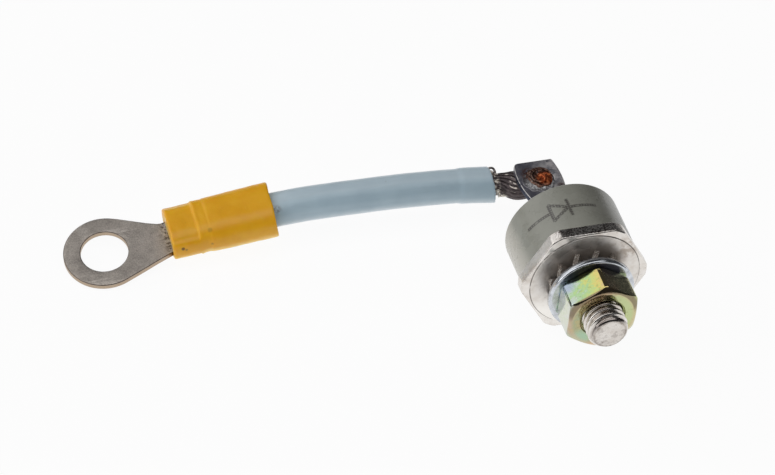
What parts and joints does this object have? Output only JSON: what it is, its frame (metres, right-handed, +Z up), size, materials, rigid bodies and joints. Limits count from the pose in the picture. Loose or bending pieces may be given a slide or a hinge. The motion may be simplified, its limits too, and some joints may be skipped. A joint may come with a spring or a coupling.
{
  "type": "stud rectifier diode",
  "caption": "Stud-mounted rectifier diode with hexagon base, moulded case, washers and nut on its stud, and a short insulated lead crimped into a ring terminal.",
  "frame": {"origin": "centre of the seating face, on the axis of the stud", "axes": "+Z up from the surface it lies on, stud towards -Y, terminal tab towards +Y, lead towards -X"},
  "size_m": [0.0788, 0.0444, 0.017],
  "materials": {
    "nickel_plate": "bright nickel plating on copper, turned",
    "die_solder": "matt solder",
    "silicon": "lapped silicon",
    "bare_copper": "bare copper",
    "silicone": "soft white coat",
    "tinned_tab": "tinned copper, tarnished dark",
    "moulded_case": "moulded, satin",
    "zinc_washers": "bright zinc",
    "yellow_chromate": "yellow chromate over zinc",
    "tab_solder": "rough solder",
    "stranded_copper": "stranded copper, tarnished",
    "lead_insulation": "satin, steel blue",
    "tinned_terminal": "tinned copper, dull",
    "crimp_sleeve": "translucent yellow plastic"
  },
  "bodies": {
    "root": {"base_stud": "nickel_plate", "die_solder": "die_solder", "silicon_die": "silicon", "contact_solder": "die_solder", "contact_disc": "bare_copper", "foot_solder": "die_solder", "junction_coat": "silicone", "terminal_tab": "tinned_tab", "case": "moulded_case", "lock_washer": "zinc_washers", "plain_washer": "zinc_washers", "nut": "yellow_chromate", "tab_solder": "tab_solder", "lead_conductor": "stranded_copper", "lead_insulation": "lead_insulation", "ring_terminal": "tinned_terminal", "crimp_sleeve": "crimp_sleeve"}
  },
  "joints": []
}
